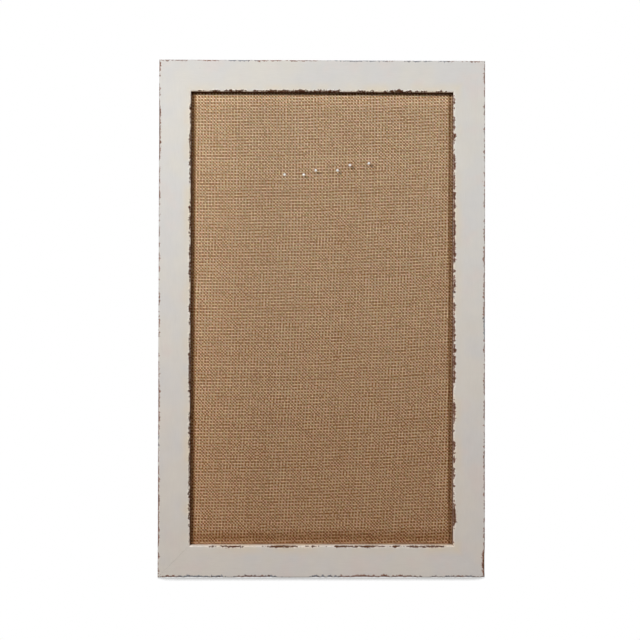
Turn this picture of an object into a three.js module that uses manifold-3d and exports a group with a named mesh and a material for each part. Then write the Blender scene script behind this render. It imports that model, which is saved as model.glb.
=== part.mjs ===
// A wall bulletin board: four mitred and rabbeted rails, painted and rubbed through at the edges, hold
// a cork sheet wrapped in coarse linen, with a hardboard back held in by steel points.
// Units are millimetres. +Z is up, the cloth faces -Y, and the frame's back is the plane Y = 0.
// The origin is the middle of the top rail's back face, where the board lies on the wall.
import * as THREE from 'three';
import { mergeVertices } from 'three/addons/utils/BufferGeometryUtils.js';
import Module from 'manifold-3d';

// Frame
const FRAME_WIDTH = 457.2;
const FRAME_HEIGHT = 723.9;
const FRAME_DEPTH = 25.4;
const FACE_WIDTH = 44.45; // painted face, from the outer edge to the sight edge
const LIP_REACH = 8; // how far the lip covers the panel's edge
const LIP_THICKNESS = 9.5; // how far the rabbet's ledge lies behind the painted face
const OUTER_EASING = 1.6; // radius of the outer front edge
const SIGHT_EASING = 1.2; // radius of the inner front edge
const BACK_EASING = 0.8; // radius of the outer back edge
const MITRE_GAP = 0.3; // open line between two mitred ends

// Panel
const PANEL_PLAY = 1; // room between the panel and the rabbet, on each side
const LINEN_THICKNESS = 0.9;
const HEM_WIDTH = 28; // linen turned on to the back of the cork
const HEM_SLIT = 1.5; // gap where two hems meet at a corner
const CORK_THICKNESS = 6;
const HARDBOARD_THICKNESS = 3.2;

// V-nails across the mitres
const NAIL_LEG = 5;
const NAIL_SHEET = 0.8;
const NAIL_SPREAD = THREE.MathUtils.degToRad(100); // angle between the two legs
const NAIL_HEIGHT = 12;
const NAIL_SUNK = 0.6; // below the frame's back
const NAIL_INSETS = { outer: 12, inner: 26 }; // from both outer edges of a corner

// Framer's points
const POINT_WIDTH = 9;
const POINT_BITE = 7; // length driven into the wood
const POINT_TAPER = 5; // length over which it narrows to the tip
const POINT_COVER = 10; // length that lies over the hardboard
const POINT_SHEET = 0.7;
const POINTS_PER_RAIL = 3;
const POINTS_PER_STILE = 4;

// Hangers
const HANGER_DROP = 132; // from the frame's top edge to the eye
const STRAP_WIDTH = 12;
const STRAP_LENGTH = 24; // from the eye's axis to the free ends
const STRAP_SHEET = 0.9;
const STRAP_CORNER = 4; // radius of the free ends' corners
const LEAF_GAP = 0.3; // between the strap's two leaves
const RING_WIRE = 2.4; // diameter
const RING_WIDTH = 17; // across the wire's centre line
const RING_DROP = 13; // from the bar to the far end, on the wire's centre line
const RING_CORNER = 2.6; // bend at each end of the bar
const EYE_CLEARANCE = 0.3; // between the wire and the eye
const SCREW_DROP = 13; // from the eye's axis to the screw
const SCREW_SHANK = 3.5; // diameter
const SCREW_LENGTH = 16;
const SCREW_TIP = 4; // length of the pointed end
const SCREW_HEAD = 7; // diameter
const SCREW_HEAD_HEIGHT = 2.4;

// Bumpers
const BUMPER_INSET = 62; // from the frame's side to the bumper's centre
const BUMPER_DIAMETER = 11;
const BUMPER_THICKNESS = 3;
const BUMPER_EASING = 0.6;

// Pins: where each needle stands, from the middle and from the top of the sight, and how far the
// head's back stays off the cloth
const PIN_HEAD = 4.2; // diameter
const NEEDLE_DIAMETER = 0.8;
const NEEDLE_LENGTH = 13;
const NEEDLE_TIP = 2.5; // length of the pointed end
const NEEDLE_SOCKET = 2.6; // length held in the head
const PINS = [
  { across: -52.8, drop: 115.9, out: 3.6 },
  { across: -25.9, drop: 115.9, out: 3.8 },
  { across: -9.0, drop: 110.0, out: 4.9 },
  { across: 21.4, drop: 110.0, out: 5.3 },
  { across: 38.9, drop: 102.6, out: 4.6 },
  { across: 65.5, drop: 100.0, out: 4.9 },
];

// Fits
const FIT_GAP = 0.3; // between pieces that lie on each other or fit together
const NEEDLE_CLEARANCE = 0.15; // round the needle, in its head and in the board
const CUT_PAST = 2; // how far a cut runs past the surface that it opens

// Facets
const EASING_STEPS = 4;
const ROUND_SIDES = 24;
const SMALL_SIDES = 12;
const WIRE_SIDES = 10;

// Finishes
const PAINTED_WOOD = { color: 0xd3cfc6, roughness: 0.62, metalness: 0 };
const LINEN = { color: 0xa1805f, roughness: 0.95, metalness: 0 };
const CORK = { color: 0xb08a5c, roughness: 0.9, metalness: 0 };
const HARDBOARD = { color: 0x6f4d33, roughness: 0.8, metalness: 0 };
const BRIGHT_STEEL = { color: 0xb9bbbd, roughness: 0.35, metalness: 1 };
const ZINC_PLATE = { color: 0xa9aaa6, roughness: 0.42, metalness: 1 };
const FELT = { color: 0x57493d, roughness: 1, metalness: 0 };
const PEARL = { color: 0xf2f0ec, roughness: 0.2, metalness: 0 };

// Places that follow from the sizes. Depths are along Y, from the frame's back to its face.
const BACK_WIDTH = FACE_WIDTH - LIP_REACH;
const LEDGE = -(FRAME_DEPTH - LIP_THICKNESS);
const LINEN_FRONT = LEDGE + FIT_GAP;
const CORK_FRONT = LINEN_FRONT + LINEN_THICKNESS + FIT_GAP;
const CORK_BACK = CORK_FRONT + CORK_THICKNESS;
const HEM_FRONT = CORK_BACK + FIT_GAP;
const HEM_BACK = HEM_FRONT + LINEN_THICKNESS;
const HARDBOARD_FRONT = HEM_BACK + FIT_GAP;
const HARDBOARD_BACK = HARDBOARD_FRONT + HARDBOARD_THICKNESS;
const POINT_DEPTH = HARDBOARD_BACK + FIT_GAP;
const PANEL_X = FRAME_WIDTH / 2 - BACK_WIDTH - PANEL_PLAY;
const PANEL_Z = FRAME_HEIGHT / 2 - BACK_WIDTH - PANEL_PLAY;
const SIGHT_TOP = FRAME_HEIGHT / 2 - FACE_WIDTH;
const EYE_INNER = RING_WIRE / 2 + EYE_CLEARANCE;
const EYE_OUTER = EYE_INNER + STRAP_SHEET;
const LEAF_TOP = 2 * STRAP_SHEET + LEAF_GAP;
const RING_LIFT = LEAF_TOP + SCREW_HEAD_HEIGHT + FIT_GAP + RING_WIRE / 2 - EYE_OUTER;
const RING_REST = Math.asin(RING_LIFT / RING_DROP); // the hanging ring lies on the screw's head

const wasm = await Module();
wasm.setup();

// A closed geometry as a solid that can be cut.
function solid(geometry) {
  const bare = geometry.clone();
  bare.deleteAttribute('normal');
  bare.deleteAttribute('uv');
  const merged = mergeVertices(bare, 1e-4);
  return new wasm.Manifold(
    new wasm.Mesh({
      numProp: 3,
      vertProperties: merged.getAttribute('position').array,
      triVerts: new Uint32Array(merged.index.array),
    }),
  );
}

function geometryOf(made) {
  const mesh = made.getMesh();
  const geometry = new THREE.BufferGeometry();
  geometry.setAttribute('position', new THREE.BufferAttribute(mesh.vertProperties, 3));
  geometry.setIndex(new THREE.BufferAttribute(mesh.triVerts, 1));
  geometry.computeVertexNormals();
  return geometry;
}

function cut(geometry, cutters) {
  return geometryOf(cutters.reduce((left, cutter) => left.subtract(solid(cutter)), solid(geometry)));
}

function overlapOf(first, second) {
  return geometryOf(solid(first).intersect(solid(second)));
}

// A block between two corners.
function block(low, high) {
  const size = high.clone().sub(low);
  const middle = low.clone().add(high).multiplyScalar(0.5);
  return new THREE.BoxGeometry(size.x, size.y, size.z).translate(middle.x, middle.y, middle.z);
}

// A block centred on the board's middle, of given half sizes, between two depths.
function sheet(halfX, halfZ, front, back) {
  return block(new THREE.Vector3(-halfX, front, -halfZ), new THREE.Vector3(halfX, back, halfZ));
}

// An outline drawn on X and Z, as thick as the space between two Y depths.
function plate(outline, low, high, curveSegments = EASING_STEPS) {
  const settings = { depth: high - low, bevelEnabled: false, curveSegments };
  return new THREE.ExtrudeGeometry(outline, settings).rotateX(Math.PI / 2).translate(0, high, 0);
}

// A round solid about the Y axis, from a profile of radius and depth that ends on the axis.
function revolve(profile, sides) {
  const points = profile.map(([radius, depth]) => new THREE.Vector2(radius, depth));
  return new THREE.LatheGeometry(points, sides);
}

function rod(radius, low, high, sides) {
  const length = high - low;
  return new THREE.CylinderGeometry(radius, radius, length, sides).translate(0, (low + high) / 2, 0);
}

// A round wire along a closed flat loop of X and Z points that runs clockwise.
function closedWire(loop, diameter, sides) {
  const places = [];
  const faces = [];
  const radius = diameter / 2;
  loop.forEach((point, i) => {
    const ahead = (i + 1) % loop.length;
    const behind = loop.at(i - 1);
    const along = loop[ahead].clone().sub(behind).normalize();
    for (let k = 0; k < sides; k++) {
      const turn = (2 * Math.PI * k) / sides;
      const out = radius * Math.cos(turn);
      places.push(point.x - along.y * out, radius * Math.sin(turn), point.y + along.x * out);
      const next = (k + 1) % sides;
      faces.push(i * sides + k, ahead * sides + k, i * sides + next);
      faces.push(i * sides + next, ahead * sides + k, ahead * sides + next);
    }
  });
  const geometry = new THREE.BufferGeometry();
  geometry.setAttribute('position', new THREE.Float32BufferAttribute(places, 3));
  geometry.setIndex(faces);
  geometry.computeVertexNormals();
  return geometry;
}

function piece(name, geometry, finish, parent) {
  const mesh = new THREE.Mesh(geometry, new THREE.MeshStandardMaterial(finish));
  mesh.name = name;
  parent.add(mesh);
  return mesh;
}

// The four sides of the frame. A side's own axes are across it from the outer edge, from its back
// to its face, and along it, with the origin in the middle of the outer back edge.
const SIDES = [
  { name: 'top_rail', word: 'top', outward: [0, 1], length: FRAME_WIDTH, points: POINTS_PER_RAIL },
  { name: 'bottom_rail', word: 'bottom', outward: [0, -1], length: FRAME_WIDTH, points: POINTS_PER_RAIL },
  { name: 'left_stile', word: 'left', outward: [-1, 0], length: FRAME_HEIGHT, points: POINTS_PER_STILE },
  { name: 'right_stile', word: 'right', outward: [1, 0], length: FRAME_HEIGHT, points: POINTS_PER_STILE },
];

function sideFrame({ outward }) {
  const across = new THREE.Vector3(-outward[0], 0, -outward[1]);
  const forward = new THREE.Vector3(0, -1, 0);
  const along = across.clone().cross(forward);
  const edge = new THREE.Vector3((outward[0] * FRAME_WIDTH) / 2, 0, (outward[1] * FRAME_HEIGHT) / 2);
  return new THREE.Matrix4().makeBasis(across, forward, along).setPosition(edge);
}

// The four corners of the frame, with X along the mitre from the outside in.
const CORNERS = [
  { word: 'top_left', across: -1, up: 1 },
  { word: 'top_right', across: 1, up: 1 },
  { word: 'bottom_left', across: -1, up: -1 },
  { word: 'bottom_right', across: 1, up: -1 },
];

function cornerFrame({ across, up }, halfX, halfZ) {
  const inward = new THREE.Vector3(-across, 0, -up).normalize();
  const rear = new THREE.Vector3(0, 1, 0);
  const sideways = inward.clone().cross(rear);
  const corner = new THREE.Vector3(across * halfX, 0, up * halfZ);
  return new THREE.Matrix4().makeBasis(inward, rear, sideways).setPosition(corner);
}

// Section of a rail: eased edges on the face, and the rabbet behind the lip.
function railSection() {
  const section = new THREE.Shape();
  section.moveTo(BACK_EASING, 0);
  section.lineTo(BACK_WIDTH, 0);
  section.lineTo(BACK_WIDTH, FRAME_DEPTH - LIP_THICKNESS);
  section.lineTo(FACE_WIDTH, FRAME_DEPTH - LIP_THICKNESS);
  const face = FRAME_DEPTH - SIGHT_EASING;
  section.absarc(FACE_WIDTH - SIGHT_EASING, face, SIGHT_EASING, 0, Math.PI / 2);
  section.absarc(OUTER_EASING, FRAME_DEPTH - OUTER_EASING, OUTER_EASING, Math.PI / 2, Math.PI);
  section.absarc(BACK_EASING, BACK_EASING, BACK_EASING, Math.PI, 1.5 * Math.PI);
  return section;
}

// A straight rail whose ends are cut at 45 degrees, short of the mitre line by half its gap.
function mitredRail(length) {
  const settings = { depth: length, bevelEnabled: false, curveSegments: EASING_STEPS };
  const rail = new THREE.ExtrudeGeometry(railSection(), settings).translate(0, 0, -length / 2);
  const at = rail.getAttribute('position');
  const setback = (MITRE_GAP / 2) * Math.SQRT2;
  for (let i = 0; i < at.count; i++) {
    const reach = length / 2 - at.getX(i) - setback;
    at.setZ(i, Math.sign(at.getZ(i)) * reach);
  }
  return rail;
}

// A V-nail's outline, with the fold on the mitre and the legs opening inwards, grown on every side.
function nailOutline(grow) {
  const half = NAIL_SPREAD / 2;
  const leg = new THREE.Vector2(Math.cos(half), Math.sin(half));
  const outer = -grow / Math.sin(half);
  const inner = (NAIL_SHEET + grow) / Math.sin(half);
  const reach = NAIL_LEG + grow;
  const outerTip = leg.clone().multiplyScalar(reach).add(new THREE.Vector2(outer, 0));
  const square = new THREE.Vector2(leg.y, -leg.x).multiplyScalar(NAIL_SHEET + 2 * grow);
  const innerTip = outerTip.clone().add(square);
  const outline = new THREE.Shape();
  outline.moveTo(outer, 0);
  outline.lineTo(outerTip.x, -outerTip.y);
  outline.lineTo(innerTip.x, -innerTip.y);
  outline.lineTo(inner, 0);
  outline.lineTo(innerTip.x, innerTip.y);
  outline.lineTo(outerTip.x, outerTip.y);
  return outline;
}

// A framer's point from its tip in the wood to its round tail over the hardboard, in a side's axes.
function pointOutline(grow) {
  const half = POINT_WIDTH / 2 + grow;
  const tip = BACK_WIDTH - POINT_BITE - 2 * grow;
  const tail = BACK_WIDTH + POINT_COVER - POINT_WIDTH / 2;
  const outline = new THREE.Shape();
  outline.moveTo(tip, 0);
  outline.lineTo(tip + POINT_TAPER, -half);
  outline.absarc(tail, 0, half, -Math.PI / 2, Math.PI / 2);
  outline.lineTo(tip + POINT_TAPER, half);
  return outline;
}

function addNails(board, woodCuts) {
  const low = -NAIL_SUNK - NAIL_HEIGHT;
  for (const corner of CORNERS) {
    for (const [place, inset] of Object.entries(NAIL_INSETS)) {
      const frame = cornerFrame(corner, FRAME_WIDTH / 2 - inset, FRAME_HEIGHT / 2 - inset);
      const nail = plate(nailOutline(0), low, -NAIL_SUNK);
      piece(`v_nail_${corner.word}_${place}`, nail, BRIGHT_STEEL, board).applyMatrix4(frame);
      woodCuts.push(plate(nailOutline(FIT_GAP), low - FIT_GAP, CUT_PAST).applyMatrix4(frame));
    }
  }
}

function addPoints(board, woodCuts) {
  const near = -POINT_DEPTH - POINT_SHEET;
  for (const side of SIDES) {
    const run = side.length - 2 * BACK_WIDTH;
    for (let i = 0; i < side.points; i++) {
      const along = ((i + 0.5) / side.points - 0.5) * run;
      const frame = sideFrame(side).multiply(new THREE.Matrix4().makeTranslation(0, 0, along));
      const point = plate(pointOutline(0), near, -POINT_DEPTH);
      piece(`framer_point_${side.word}_${i + 1}`, point, BRIGHT_STEEL, board).applyMatrix4(frame);
      const slot = plate(pointOutline(FIT_GAP), near - FIT_GAP, FIT_GAP - POINT_DEPTH);
      woodCuts.push(slot.applyMatrix4(frame));
    }
  }
}

// The strap's section, seen from the side: two leaves folded round the ring's bar.
// Its first axis runs up from the free ends to the eye, and its second out from the frame's back.
function strapSection() {
  const innerLeaf = STRAP_SHEET;
  const outerLeaf = STRAP_SHEET + LEAF_GAP;
  const outerTurn = Math.PI - Math.asin((LEAF_TOP - EYE_OUTER) / EYE_OUTER);
  const innerTurn = Math.PI - Math.asin((outerLeaf - EYE_OUTER) / EYE_INNER);
  const section = new THREE.Shape();
  section.moveTo(-STRAP_LENGTH, 0);
  section.absarc(0, EYE_OUTER, EYE_OUTER, -Math.PI / 2, outerTurn);
  section.lineTo(-STRAP_LENGTH, LEAF_TOP);
  section.lineTo(-STRAP_LENGTH, outerLeaf);
  section.absarc(0, EYE_OUTER, EYE_INNER, innerTurn, -Math.PI / 2, true);
  section.lineTo(-STRAP_LENGTH, innerLeaf);
  return section;
}

function strap() {
  const settings = { depth: STRAP_WIDTH, bevelEnabled: false, curveSegments: SMALL_SIDES };
  const up = new THREE.Vector3(0, 0, 1);
  const out = new THREE.Vector3(0, 1, 0);
  const side = new THREE.Vector3(-1, 0, 0);
  const turn = new THREE.Matrix4().makeBasis(up, out, side).setPosition(STRAP_WIDTH / 2, 0, 0);
  const folded = new THREE.ExtrudeGeometry(strapSection(), settings).applyMatrix4(turn);
  const half = STRAP_WIDTH / 2;
  const flank = STRAP_CORNER - STRAP_LENGTH;
  const outline = new THREE.Shape();
  outline.moveTo(half, EYE_OUTER + CUT_PAST);
  outline.lineTo(-half, EYE_OUTER + CUT_PAST);
  outline.absarc(STRAP_CORNER - half, flank, STRAP_CORNER, Math.PI, 1.5 * Math.PI);
  outline.absarc(half - STRAP_CORNER, flank, STRAP_CORNER, -Math.PI / 2, 0);
  const tall = 2 * EYE_OUTER + CUT_PAST;
  const trimmed = overlapOf(folded, plate(outline, -CUT_PAST, tall));
  const hole = rod(SCREW_SHANK / 2 + FIT_GAP, -CUT_PAST, tall, ROUND_SIDES).translate(0, 0, -SCREW_DROP);
  return cut(trimmed, [hole]);
}

// The D-ring hanging from its bar, flat on X and Z.
function ring() {
  const half = RING_WIDTH / 2;
  const corner = half - RING_CORNER;
  const loop = new THREE.Path();
  loop.moveTo(-corner, 0);
  loop.lineTo(corner, 0);
  loop.absarc(corner, -RING_CORNER, RING_CORNER, Math.PI / 2, 0, true);
  loop.absellipse(0, -RING_CORNER, half, RING_DROP - RING_CORNER, 0, -Math.PI, true);
  loop.absarc(-corner, -RING_CORNER, RING_CORNER, Math.PI, Math.PI / 2, true);
  const points = loop.getPoints(SMALL_SIDES);
  points.pop();
  return closedWire(points, RING_WIRE, WIRE_SIDES);
}

// A pan-head wood screw with the underside of its head at Y = 0 and its point towards -Y.
function screw() {
  const shank = SCREW_SHANK / 2;
  const head = SCREW_HEAD / 2;
  const profile = [
    [0, -SCREW_LENGTH],
    [shank, SCREW_TIP - SCREW_LENGTH],
    [shank, 0],
    [head, 0],
    [head, SCREW_HEAD_HEIGHT / 2],
    [head * 0.8, SCREW_HEAD_HEIGHT * 0.85],
    [head * 0.4, SCREW_HEAD_HEIGHT],
    [0, SCREW_HEAD_HEIGHT],
  ];
  return revolve(profile, ROUND_SIDES);
}

function addHangers(board, woodCuts) {
  const across = (FRAME_WIDTH - BACK_WIDTH) / 2;
  const tipDepth = LEAF_TOP - SCREW_LENGTH - FIT_GAP;
  for (const [word, place] of [['left', -across], ['right', across]]) {
    const hanger = new THREE.Group();
    hanger.position.set(place, 0, FRAME_HEIGHT / 2 - HANGER_DROP);
    board.add(hanger);
    piece(`${word}_hanger_strap`, strap(), ZINC_PLATE, hanger);
    piece(`${word}_hanger_screw`, screw(), BRIGHT_STEEL, hanger).position.set(0, LEAF_TOP, -SCREW_DROP);
    const swing = new THREE.Group();
    swing.position.set(0, EYE_OUTER, 0);
    swing.rotation.x = RING_REST;
    hanger.add(swing);
    piece(`${word}_hanger_ring`, ring(), ZINC_PLATE, swing);
    const pilot = rod(SCREW_SHANK / 2 + FIT_GAP, tipDepth, CUT_PAST, ROUND_SIDES);
    woodCuts.push(pilot.translate(place, 0, hanger.position.z - SCREW_DROP));
  }
}

function addBumpers(board) {
  const radius = BUMPER_DIAMETER / 2;
  const profile = [
    [0, 0],
    [radius, 0],
    [radius, BUMPER_THICKNESS - BUMPER_EASING],
    [radius - BUMPER_EASING, BUMPER_THICKNESS],
    [0, BUMPER_THICKNESS],
  ];
  const across = FRAME_WIDTH / 2 - BUMPER_INSET;
  for (const [word, place] of [['left', -across], ['right', across]]) {
    const bumper = piece(`${word}_bumper`, revolve(profile, ROUND_SIDES), FELT, board);
    bumper.position.set(place, 0, (BACK_WIDTH - FRAME_HEIGHT) / 2);
  }
}

// A pin stands with the cloth's face at Y = 0. The needle runs from its socket in the head to its tip.
function addPins(board, panelCuts) {
  const radius = PIN_HEAD / 2;
  const shaft = NEEDLE_DIAMETER / 2;
  const bore = shaft + NEEDLE_CLEARANCE;
  PINS.forEach(({ across, drop, out }, i) => {
    const pin = new THREE.Group();
    pin.position.set(across, LINEN_FRONT, SIGHT_TOP - drop);
    board.add(pin);
    const ball = new THREE.SphereGeometry(radius, ROUND_SIDES, SMALL_SIDES).translate(0, -out - radius, 0);
    const socketEnd = -out - NEEDLE_SOCKET;
    const socket = rod(bore, socketEnd - NEEDLE_CLEARANCE, CUT_PAST - out, SMALL_SIDES);
    piece(`pin_${i + 1}_head`, cut(ball, [socket]), PEARL, pin);
    const tip = socketEnd + NEEDLE_LENGTH;
    const needle = [
      [0, socketEnd],
      [shaft, socketEnd],
      [shaft, tip - NEEDLE_TIP],
      [0, tip],
    ];
    piece(`pin_${i + 1}_needle`, revolve(needle, SMALL_SIDES), BRIGHT_STEEL, pin);
    const depth = Math.max(HEM_FRONT - LINEN_FRONT, tip + NEEDLE_CLEARANCE);
    const hole = rod(bore, -CUT_PAST, depth, SMALL_SIDES);
    panelCuts.push(hole.translate(across, LINEN_FRONT, pin.position.z));
  });
}

// The linen runs over the face, down the four edges and on to the back as a hem, slit at the corners.
function linenCover(panelCuts) {
  const wrap = LINEN_THICKNESS;
  const innerX = PANEL_X - wrap;
  const innerZ = PANEL_Z - wrap;
  const whole = sheet(PANEL_X, PANEL_Z, LINEN_FRONT, HEM_BACK);
  const inside = sheet(innerX, innerZ, LINEN_FRONT + wrap, HEM_FRONT);
  const window = sheet(innerX - HEM_WIDTH, innerZ - HEM_WIDTH, CORK_BACK - CUT_PAST, HEM_BACK + CUT_PAST);
  const slit = new THREE.Shape();
  slit.moveTo(0, -HEM_SLIT / 2);
  slit.lineTo((HEM_WIDTH + CUT_PAST) * Math.SQRT2, -HEM_SLIT / 2);
  slit.lineTo((HEM_WIDTH + CUT_PAST) * Math.SQRT2, HEM_SLIT / 2);
  slit.lineTo(0, HEM_SLIT / 2);
  const slits = CORNERS.map((corner) => {
    const opening = plate(slit, CORK_BACK - CUT_PAST, HEM_BACK + CUT_PAST);
    return opening.applyMatrix4(cornerFrame(corner, innerX, innerZ));
  });
  return cut(whole, [inside, window, ...slits, ...panelCuts]);
}

function addPanel(board, panelCuts) {
  const edge = LINEN_THICKNESS + FIT_GAP;
  const cork = sheet(PANEL_X - edge, PANEL_Z - edge, CORK_FRONT, CORK_BACK);
  const hardboard = sheet(PANEL_X, PANEL_Z, HARDBOARD_FRONT, HARDBOARD_BACK);
  piece('linen_cover', linenCover(panelCuts), LINEN, board);
  piece('cork_sheet', cut(cork, panelCuts), CORK, board);
  piece('hardboard_back', cut(hardboard, panelCuts), HARDBOARD, board);
}

function addFrame(board, woodCuts) {
  for (const side of SIDES) {
    const rail = mitredRail(side.length).applyMatrix4(sideFrame(side));
    piece(side.name, cut(rail, woodCuts), PAINTED_WOOD, board);
  }
}

const board = new THREE.Group();
board.position.z = (BACK_WIDTH - FRAME_HEIGHT) / 2;
const woodCuts = [];
const panelCuts = [];
addNails(board, woodCuts);
addPoints(board, woodCuts);
addHangers(board, woodCuts);
addBumpers(board);
addPins(board, panelCuts);
addPanel(board, panelCuts);
addFrame(board, woodCuts);

const bulletinBoard = new THREE.Group();
bulletinBoard.add(board);

export default bulletinBoard;
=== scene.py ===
"""Dresses the framed linen bulletin board over its solids, and sets its stage."""

import math
from typing import NamedTuple

import bmesh
import bpy
import numpy as np
from bpy.props import FloatProperty, FloatVectorProperty, PointerProperty
from bpy.types import Operator, Panel, PropertyGroup
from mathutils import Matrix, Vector, noise


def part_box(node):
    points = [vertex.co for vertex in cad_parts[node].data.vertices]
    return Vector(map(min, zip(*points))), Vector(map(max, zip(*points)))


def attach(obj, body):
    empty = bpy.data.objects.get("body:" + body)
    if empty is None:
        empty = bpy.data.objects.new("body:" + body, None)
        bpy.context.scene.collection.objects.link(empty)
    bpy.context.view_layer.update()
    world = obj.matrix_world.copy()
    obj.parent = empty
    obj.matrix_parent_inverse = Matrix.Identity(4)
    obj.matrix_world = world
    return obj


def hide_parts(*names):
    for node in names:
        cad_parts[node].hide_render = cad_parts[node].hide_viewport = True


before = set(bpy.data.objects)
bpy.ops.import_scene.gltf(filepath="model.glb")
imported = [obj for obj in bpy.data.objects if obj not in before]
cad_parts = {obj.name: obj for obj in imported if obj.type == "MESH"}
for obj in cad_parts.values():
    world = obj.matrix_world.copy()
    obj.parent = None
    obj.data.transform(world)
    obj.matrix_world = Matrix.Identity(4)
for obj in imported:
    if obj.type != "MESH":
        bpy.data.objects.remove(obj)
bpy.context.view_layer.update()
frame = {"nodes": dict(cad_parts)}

bl_info = {
    "name": "Linen bulletin board",
    "version": (1, 0, 0),
    "blender": (4, 5, 0),
    "location": "View3D > Sidebar > Board",
    "description": "A framed linen bulletin board: worn paint, coarse weave, pins and hangers",
    "category": "Add Mesh",
}

MM = 0.001
WHITE = (1, 1, 1)

# Lengths below are in millimetres, and places along Y are taken from the frame's back.

# Places taken from the solids
FRAME_LOW = Vector((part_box("left_stile")[0].x, 0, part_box("bottom_rail")[0].z)) / MM
FRAME_HIGH = Vector((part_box("right_stile")[1].x, 0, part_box("top_rail")[1].z)) / MM
FRAME_DEPTH = -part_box("top_rail")[0].y / MM
FACE_WIDTH = FRAME_HIGH.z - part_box("top_rail")[0].z / MM
FRAME_MIDDLE = (FRAME_LOW + FRAME_HIGH) / 2
LINEN_LOW, LINEN_HIGH = (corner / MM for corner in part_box("linen_cover"))
SIGHT_TOP = FRAME_HIGH.z - FACE_WIDTH
SIGHT_LEFT = FRAME_LOW.x + FACE_WIDTH
SIGHT_WIDTH = FRAME_HIGH.x - FRAME_LOW.x - 2 * FACE_WIDTH
SIGHT_HEIGHT = FRAME_HIGH.z - FRAME_LOW.z - 2 * FACE_WIDTH

# Section of a rail
BACK_WIDTH = 36.45  # behind the lip
LEDGE_RISE = 15.9  # from the back to the rabbet's ledge
OUTER_EASING = 1.6
SIGHT_EASING = 1.8
BACK_EASING = 0.8

# Wear of the rails
WEAR_SPAN = 9.0  # from an edge, beyond which nothing is rubbed
CALM_START, CALM_SPAN = 3, 14  # from the sight's corners, which wear less
BITE_POWER = 0.6  # below 1, so that shallow bites reach further
BITES = ((24, 0.6, (0, 0, 0)), (7, 0.65, (31, 7, 3)), (3, 0.6, (5, 71, 13)))  # size, share, seed
HOLLOW_SHARE, HOLLOW_MOST = 0.3, 0.7  # depth for each millimetre rubbed, and at most
BACK_PAINT = 3.2  # paint that runs round on to the back
SLOT_ROOM = 0.12  # round what is driven into a rail
NAIL_SLOT_FLOOR, NAIL_SLOT_MOUTH = -3, 1  # a nail's slot is open to the back

# Cloth
CLOTH_THICKNESS = 0.9
CLOTH_TURN = 1.2  # radius of the turned edges
CLOTH_GRID = 4  # side of a square of the face, about
SWELLS = ((55, 0.12, (0, 0, 0)), (16, 0.06, (9, 3, 1)))  # size, height, seed
HEM_ROWS = (1, 3, 8, 16)  # from the turned edge
HEM_SLIT = 1.1  # between a hem's end and its corner's diagonal
WARP_BOW, WEFT_BOW = 5.5e-5, 8.7e-5  # how the yarns bend away, for each square millimetre
LANE_STEP, LANE_RUN, LANE_APART = 3.71, 0.017, 50  # noise from yarn to yarn, along one, by set
PLUMP_SEED, STREAK_SEED = 0.37, 0.61
YARN_HALF, YARN_SKEW = 0.46, 0.13  # half width in pitches, and lean where yarns cross

# Stage, in metres and radians
CAMERA_PLACE = (-0.0131, -1.2684, -0.35574)
CAMERA_TURN = (1.57845, -0.00195, -0.00833)
LAMPS = {"key": (-1.24, -2.20, 0.72), "fill": (1.60, -2.20, 0.72), "back": (0.70, 2.20, 0.30)}
FLOOR_REACH = 4.0
CONTACT_REACH = 37 * MM


class Wear(NamedTuple):
    """How one front edge has worn: the reach of the rubbing and how far from the corner it sits, in
    millimetres, how much of the edge it takes, how much undercoat is left in it, and the places
    where it takes more, each with its middle, its half length and how much more."""

    reach: float
    share: float
    coat: float
    inset: float = 0.0
    spots: tuple = ()


class Side(NamedTuple):
    """One side of the frame: which way is out, its finish, the wear of its two front edges, how
    deep the paint goes down its sight wall, how far each mitred end stands back from its joint, and
    how much undercoat is left on the wall."""

    out: tuple
    wood: str
    outer: Wear
    sight: Wear
    wall: float
    mitre: tuple = (0.02, 0.02)
    wall_coat: float = 0.2


# Each painted finish: the axis of its grain, and how much more of its undercoat is grey.
WOODS = {"painted_rail": (0, 0.0), "painted_foot": (0, 0.05), "painted_stile": (2, -0.07)}
SIDES = {
    "top_rail": Side(
        (0, 1),
        "painted_rail",
        outer=Wear(1.9, 0.12, 0.7, spots=((-120, 60, 0.3), (60, 50, 0.3), (180, 40, 0.25))),
        sight=Wear(2.2, 0.05, -0.3, spots=((-40, 125, 0.5), (108, 30, 0.4))),
        # Partly painted shade: the top sight wall keeps almost no paint, so its dark stain deepens
        # the shade under the lip.
        wall=0.1,
    ),
    "bottom_rail": Side(
        (0, -1),
        "painted_foot",
        outer=Wear(
            3.8, 0.1, 0.7, spots=((-85, 45, 0.4), (55, 60, 0.3), (130, 40, 0.2), (204, 12, 0.4))
        ),
        sight=Wear(
            2.1, -0.16, -0.3, inset=0.9,
            spots=(
                (-133, 30, 1.0), (-60, 36, 1.0), (20, 18, 1.0),
                (58, 30, 1.1), (97, 20, 1.0), (142, 34, 1.1),
            ),
        ),
        wall=20,
        mitre=(0.07, 0.02),
    ),
    "left_stile": Side(
        (-1, 0),
        "painted_stile",
        outer=Wear(1.9, 0.2, 0.5, spots=((-100, 60, 0.4), (-450, 70, 0.4), (-610, 60, 0.3))),
        sight=Wear(
            1.4, 0.32, -0.9,
            spots=(
                (-65, 40, 0.3), (-268, 20, 0.35), (-414, 45, 0.3),
                (-535, 40, 0.35), (-590, 22, 0.35),
            ),
        ),
        wall=0.8,
        mitre=(0.02, 0.07),
    ),
    "right_stile": Side(
        (1, 0),
        "painted_stile",
        outer=Wear(2.2, 0.25, 0.7, spots=((-686, 24, 2.2), (-300, 70, 0.35), (-560, 60, 0.3))),
        sight=Wear(
            3.0, 0.3, 0.35,
            spots=((-175, 25, 0.4), (-255, 30, 0.3), (-425, 20, 0.3), (-618, 18, 0.7)),
        ),
        wall=2.0,
        wall_coat=2.2,
    ),
}


# Looks


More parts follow.
